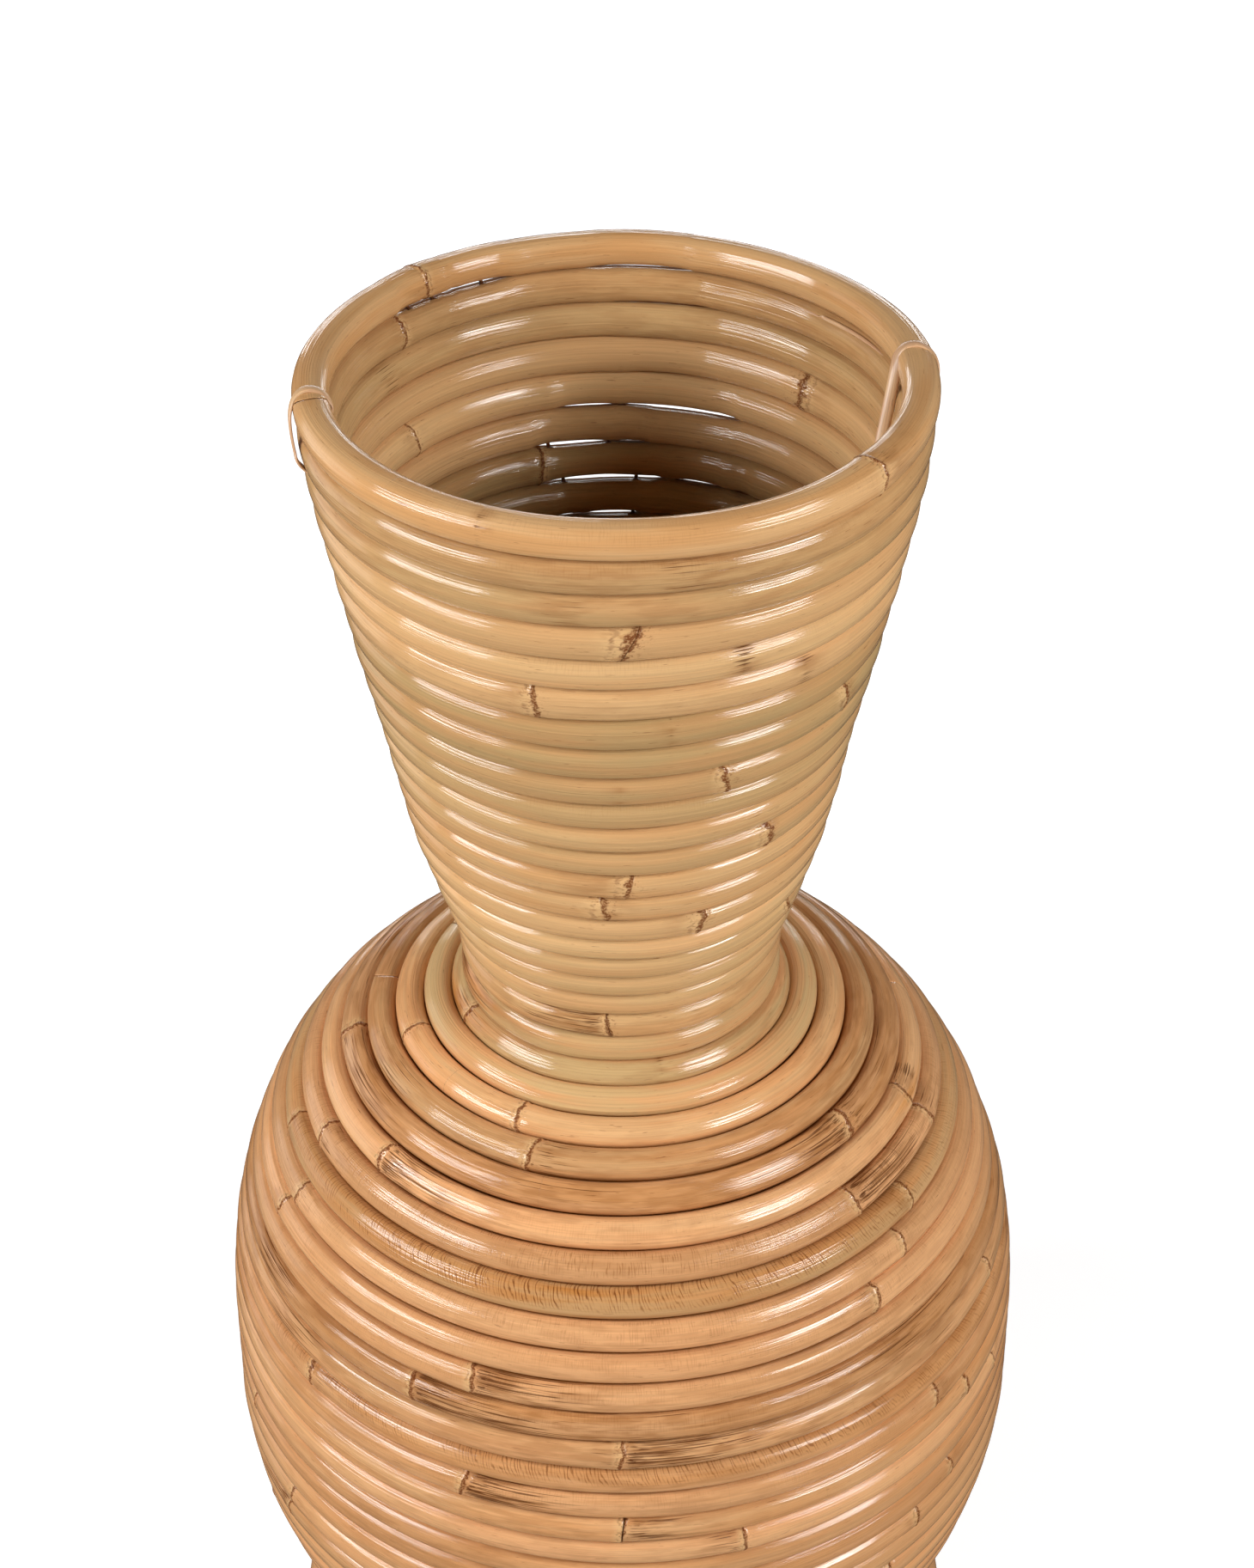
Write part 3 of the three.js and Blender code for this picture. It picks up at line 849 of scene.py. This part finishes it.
def on_cane(number, angle, section, lift, turn=0.0):
    """A point off a hoop's surface, at a plan and a section angle, and a strip's turn there."""
    radius, height, cane = centre_line(HOOPS[number - 1], np.float64(angle))
    reach = cane + lift
    out = radius + reach * math.cos(math.radians(section))
    z = height + reach * math.sin(math.radians(section))
    plan = math.radians(angle)
    return Vector((out * math.cos(plan) + axis_shift(z), out * math.sin(plan), z, turn))


def smooth_route(points, steps=9):
    """A smooth curve through points."""
    knots = [points[0] * 2 - points[1], *points, points[-1] * 2 - points[-2]]
    route = []
    for i in range(len(points) - 1):
        a, b, c, d = knots[i:i + 4]
        bend, twist = 2 * a - 5 * b + 4 * c - d, 3 * b - a - 3 * c + d
        for j in range(steps):
            t = j / steps
            route.append(0.5 * (2 * b + (c - a) * t + bend * t ** 2 + twist * t ** 3))
    return [*route, points[-1]]


# Section of a peel strip, in shares of its width and thickness: flat below and crowned above
STRIP_SECTION = [
    (-0.5, 0.0), (-0.47, 0.55), (-0.25, 0.92), (0.0, 1.0), (0.25, 0.92), (0.47, 0.55), (0.5, 0.0),
    (0.0, -0.08),
]


def strip_mesh(name, route, width, thickness, taper=0.0):
    """A flat strip with a crowned skin side along a route."""
    points, places, travelled = [], [], 0.0
    last = len(route) - 1
    for i, (*place, turn) in enumerate(route):
        here = Vector(place)
        ahead = (route[min(i + 1, last)] - route[max(i - 1, 0)]).xyz.normalized()
        plan = math.atan2(here.y, here.x)
        side = Vector((-math.sin(plan), math.cos(plan), 0))
        side = (side - ahead * side.dot(ahead)).normalized()
        side.rotate(Quaternion(ahead, math.radians(turn)))
        skin = ahead.cross(side)
        if i:
            travelled += (here - route[i - 1].xyz).length
        share = 1 - taper * (abs(2 * i / last - 1)) ** 3
        for across, up in STRIP_SECTION:
            edge = here + side * (across * width * share)
            points.append((edge + skin * (up * thickness * share)) * MM)
            places.append((travelled, across * width, up))
    mesh = bpy.data.meshes.new(name)
    mesh.from_pydata(points, [], tube_faces(len(route), len(STRIP_SECTION), flipped=True))
    mesh.shade_smooth()
    layer = mesh.attributes.new("cane", "FLOAT_VECTOR", "POINT")
    layer.data.foreach_set("vector", np.array(places).ravel())
    return mesh


# Routes of the ties: hoop, plan angle, angle round its section, distance off the cane, and turn
LEFT_TIE = [
    (3, 194, 135, -0.6), (2, 193.5, 200, 0.0), (2, 193, 165, 0.1), (1, 192, 205, 0.1),
    (1, 191, 165, 0.0), (1, 190, 125, 0.0), (1, 189.5, 85, 0.0), (1, 189.5, 50, 0.0),
    (1, 190.5, 15, 0.2), (1, 192, -22, 1.4), (2, 193.5, 12, 1.7), (2, 195, -20, 0.9),
    (3, 196, 60, -0.4), (3, 196.5, 78, -1.4),
]
RIGHT_TIE = [
    (4, 353.5, 118, -0.6, 50), (4, 355, 150, 2.6, 62), (3, 358.5, 180, 3.6, 66),
    (2, 3, 184, 2.4, 62), (1, 6.6, 192, 0.8, 48), (1, 8.3, 158, 0.0, 12), (1, 8.5, 120, 0.0),
    (1, 8, 80, 0.0), (1, 7, 40, 0.0), (1, 5, 2, 0.1), (2, 3.5, 15, 0.3), (2, 2.5, -8, 0.1),
    (3, 2, 15, 0.3), (3, 1.5, -20, 0.0), (4, 1, 68, -0.5), (4, 1, 84, -1.4),
]

# A sliver that has split off the second hoop on its inner side, and its width, thickness and taper
SLIVER = [
    (2, 60, 120, -0.1), (2, 54, 124, 0.3), (2, 48, 128, 0.4), (2, 42, 132, 0.5), (2, 36, 130, 0.5),
    (2, 29, 126, 0.5), (2, 22, 122, 0.3), (2, 16, 118, -0.1),
]
SLIVER_FORM = (1.5, 0.5, 0.8)


class VASE_OT_peel_ties(bpy.types.Operator):
    """Lays the two peel ties over the rim, and the split sliver inside it"""

    bl_idname = "vase.peel_ties"
    bl_label = "Lay peel ties"

    def execute(self, context):
        peel = context.scene.vase_peel
        material = peel_material(context.scene.vase_colours)
        width, thickness = peel.width / MM, peel.thickness / MM
        for name, places in (("tie_left", LEFT_TIE), ("tie_right", RIGHT_TIE)):
            route = smooth_route([on_cane(*place) for place in places])
            mesh = strip_mesh(f"peel_{name}", route, width, thickness)
            new_piece(f"peel_{name}", mesh, material, [name])
        route = smooth_route([on_cane(*place) for place in SLIVER])
        mesh = strip_mesh("peel_sliver", route, *SLIVER_FORM)
        new_piece("peel_sliver", mesh, material)
        return {"FINISHED"}


# Brads: sides and steps of the mesh, the section angles of the upper and the lower cane between
# which a brad shows, and how far it reaches into each
BRAD_SIDES = 12
BRAD_STEPS = 8
BRAD_ENDS = (-95, 85)
BRAD_DEPTH = 0.6


class VASE_OT_brads(bpy.types.Operator):
    """Drives the brads that show at the back of the neck, each in its bead of glue"""

    bl_idname = "vase.brads"
    bl_label = "Drive brads"

    def execute(self, context):
        reach = context.scene.vase_peel.brad / MM / 2
        points, faces = [], []
        for upper, angle in BRADS:
            top = on_cane(upper, angle, BRAD_ENDS[0], -BRAD_DEPTH).xyz
            bottom = on_cane(upper + 1, angle, BRAD_ENDS[1], -BRAD_DEPTH).xyz
            ahead = (bottom - top).normalized()
            side = ahead.cross(Vector((0, 0, 1))).normalized()
            other = ahead.cross(side)
            faces += tube_faces(BRAD_STEPS + 1, BRAD_SIDES, len(points))
            for k in range(BRAD_STEPS + 1):
                share = k / BRAD_STEPS
                # The glue draws in between the two canes
                waist = reach * (0.75 + 1.5 * (2 * share - 1) ** 2)
                for i in range(BRAD_SIDES):
                    turn = 2 * math.pi * i / BRAD_SIDES
                    around = (side * math.cos(turn) + other * math.sin(turn)) * waist
                    points.append((top.lerp(bottom, share) + around) * MM)
        mesh = bpy.data.meshes.new("brads")
        mesh.from_pydata(points, [], faces)
        new_piece("brads", mesh, glue_material(context.scene.vase_colours))
        return {"FINISHED"}


# The board's edge is rounded off by this much, and it is turned with this many sides
BOARD_EASE = 0.5 * MM
BOARD_SIDES = 128


class VASE_OT_base_board(bpy.types.Operator):
    """Turns the plywood board that closes the lowest hoop"""

    bl_idname = "vase.base_board"
    bl_label = "Turn base board"

    def execute(self, context):
        low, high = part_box("base_board")
        radius = (high.x - low.x) / 2 / CORNER_GROWTH
        inner = radius - BOARD_EASE
        profile = [
            (inner, low.z), (radius, low.z + BOARD_EASE), (radius, high.z - BOARD_EASE),
            (inner, high.z),
        ]
        points = []
        for reach, height in profile:
            for i in range(BOARD_SIDES):
                turn = 2 * math.pi * i / BOARD_SIDES
                points.append((reach * math.cos(turn), reach * math.sin(turn), height))
        mesh = bpy.data.meshes.new("board")
        mesh.from_pydata(points, [], tube_faces(len(profile), BOARD_SIDES, flipped=True))
        material = plywood_material(context.scene.vase_colours)
        new_piece("plywood_board", mesh, material, ["base_board"])
        return {"FINISHED"}


# The camera, found from the photograph: its place from the rim's centre, its pitch and its lens.
# The frame is 1460 by 1825 pixels, and the vase stands a few pixels left of its middle.
CAMERA_BACK = 900 * MM
CAMERA_ABOVE_RIM = 483.1 * MM
CAMERA_PITCH = 35.64
FOCAL_PIXELS = 3591.1
FRAME_HEIGHT = 1825
SENSOR = 36.0
VASE_OFFSET_PIXELS = 4.0

# Lamps, in metres: plan angle to the right of the camera's side, height, distance, width and
# height of the box, whose power it takes and which share of that, and whether it shows in the
# lacquer and lights matt surfaces
LAMPS = [
    # The two softboxes beside the camera, and a weak wide one at the left
    (-66, 1.06, 1.25, 0.9, 0.42, "key_power", 1.36, True, True),
    (57, 1.14, 1.25, 0.6, 0.42, "key_power", 1.22, True, True),
    (-110, 0.5, 1.5, 0.9, 1.2, "key_power", 0.25, True, True),
    # A low fill behind the camera, and a soft light on the back of the vase
    (-4, 0.45, 1.9, 1.4, 0.5, "fill_power", 0.7, False, True),
    (178, 0.9, 1.7, 1.2, 0.8, "fill_power", 0.6, False, True),
    # A white wall behind the vase, seen in the lacquer as a thin line along the rim
    (180, 0.68, 1.6, 1.6, 0.2, "fill_power", 0.8, True, False),
]
LAMP_AIM = Vector((0, 0, 0.42))

# The floor is a square of this half width in metres. Its glow rises to white between these
# distances from the vase's axis.
FLOOR_HALF = 6.0
FLOOR_FADE = (0.3, 1.5)

# The walls' light falls off between these heights of the sky, 1 being overhead, and the lacquer
# reflects this share of it
WALL_HEIGHTS = (0.1, 0.65)
WALL_IN_LACQUER = 0.15


def floor_material(stage, shades):
    """Matt white paper that the camera sees brought up to white, less so beside the vase.

    There the floor keeps the vase's shadow.
    """
    material, add = new_material("studio_paper")
    seen = add("LightPath", output="Is Camera Ray")
    paper = add("BsdfDiffuse", {"Color": (*shades.floor, 1.0)})
    place = add("TexCoord", output="Object")
    away = add("VectorMath", [place], "Value", operation="LENGTH")
    level = add("MapRange", [away, *FLOOR_FADE, stage.floor_glow, 1.0])
    glow = add("Emission", {"Strength": add("Math", [seen, level], **TIMES)})
    add("OutputMaterial", [add("AddShader", [paper, glow])])
    return material


def lay_floor(scene):
    """The floor, which the lacquer doesn't reflect."""
    half = FLOOR_HALF
    corners = [(-half, -half, 0), (half, -half, 0), (half, half, 0), (-half, half, 0)]
    mesh = bpy.data.meshes.new("floor")
    mesh.from_pydata(corners, [], [(0, 1, 2, 3)])
    mesh.materials.append(floor_material(scene.vase_stage, scene.vase_colours))
    floor = bpy.data.objects.new("floor", mesh)
    scene.collection.objects.link(floor)
    floor.visible_glossy = False


def hang_lamps(scene):
    """The soft lamps round the vase, all turned to its middle."""
    for i, (turn, height, distance, width, tall, power, share, glossy, matt) in enumerate(LAMPS):
        lamp = bpy.data.lights.new(f"softbox_{i}", "AREA")
        lamp.shape = "RECTANGLE"
        lamp.size, lamp.size_y = width, tall
        lamp.energy = getattr(scene.vase_stage, power) * share
        box = bpy.data.objects.new(lamp.name, lamp)
        plan = math.radians(turn)
        box.location = (distance * math.sin(plan), -distance * math.cos(plan), height)
        box.rotation_euler = (LAMP_AIM - box.location).to_track_quat("-Z", "Y").to_euler()
        box.visible_glossy, box.visible_diffuse = glossy, matt
        scene.collection.objects.link(box)


def light_walls(scene):
    """The world: white to the camera, and pale walls near the horizon to everything else."""
    world = bpy.data.worlds.new("studio")
    world.use_nodes = True
    world.node_tree.nodes.clear()
    add = partial(add_node, world.node_tree)
    seen = add("LightPath", output="Is Camera Ray")
    rise = add("SeparateXYZ", [add("TexCoord", output="Generated")], 2)
    walls = [rise, *WALL_HEIGHTS, scene.vase_stage.ambient, 0.0]
    walls = add("MapRange", walls, **SMOOTH)
    mirrored = add("LightPath", output="Is Glossy Ray")
    mirrored = add("MapRange", [mirrored, 0.0, 1.0, 1.0, WALL_IN_LACQUER])
    walls = add("Math", [walls, mirrored], **TIMES)
    strength = add("Math", [walls, seen], operation="MAXIMUM")
    light = add("Background", {"Color": (1, 1, 1, 1), "Strength": strength})
    add("OutputWorld", [light])
    scene.world = world


def set_camera(scene):
    """The camera at the photograph's place and angle."""
    lens = bpy.data.cameras.new("camera")
    lens.sensor_width = SENSOR
    lens.lens = FOCAL_PIXELS * SENSOR / FRAME_HEIGHT
    lens.shift_x = VASE_OFFSET_PIXELS / FRAME_HEIGHT
    camera = bpy.data.objects.new("camera", lens)
    camera.location = (0, -CAMERA_BACK, RIM_HEIGHT * MM + CAMERA_ABOVE_RIM)
    camera.rotation_euler = (math.radians(90 - CAMERA_PITCH), 0, 0)
    scene.collection.objects.link(camera)
    scene.camera = camera
    scene.view_settings.view_transform = "Standard"


class VASE_OT_stage(bpy.types.Operator):
    """Sets the floor, the softboxes, the world and the camera"""

    bl_idname = "vase.stage"
    bl_label = "Set stage"

    def execute(self, context):
        for step in (lay_floor, hang_lamps, light_walls, set_camera):
            step(context.scene)
        return {"FINISHED"}


OPERATORS = (
    VASE_OT_neck_canes, VASE_OT_belly_canes, VASE_OT_peel_ties, VASE_OT_brads, VASE_OT_base_board,
    VASE_OT_stage,
)
GROUPS = {
    "vase_canes": VaseCanes, "vase_peel": VasePeel, "vase_colours": VaseColours,
    "vase_stage": VaseStage,
}


class VASE_PT_panel(bpy.types.Panel):
    """The vase's sizes, colours and pieces"""

    bl_idname = "VASE_PT_panel"
    bl_label = "Rattan vase"
    bl_space_type = "VIEW_3D"
    bl_region_type = "UI"
    bl_category = "Vase"

    def draw(self, context):
        for group in GROUPS:
            settings = getattr(context.scene, group)
            for name in settings.bl_rna.properties.keys():
                if name not in ("rna_type", "name"):
                    self.layout.prop(settings, name)
        for operator in OPERATORS:
            self.layout.operator(operator.bl_idname)


def register():
    for cls in (*GROUPS.values(), *OPERATORS, VASE_PT_panel):
        bpy.utils.register_class(cls)
    for name, group in GROUPS.items():
        setattr(bpy.types.Scene, name, PointerProperty(type=group))


def unregister():
    for name in GROUPS:
        delattr(bpy.types.Scene, name)
    for cls in (VASE_PT_panel, *reversed(OPERATORS), *reversed(GROUPS.values())):
        bpy.utils.unregister_class(cls)


def main():
    register()
    bpy.ops.vase.neck_canes()
    bpy.ops.vase.belly_canes()
    bpy.ops.vase.peel_ties()
    bpy.ops.vase.brads()
    bpy.ops.vase.base_board()
    bpy.ops.vase.stage()


if __name__ == "__main__":
    main()
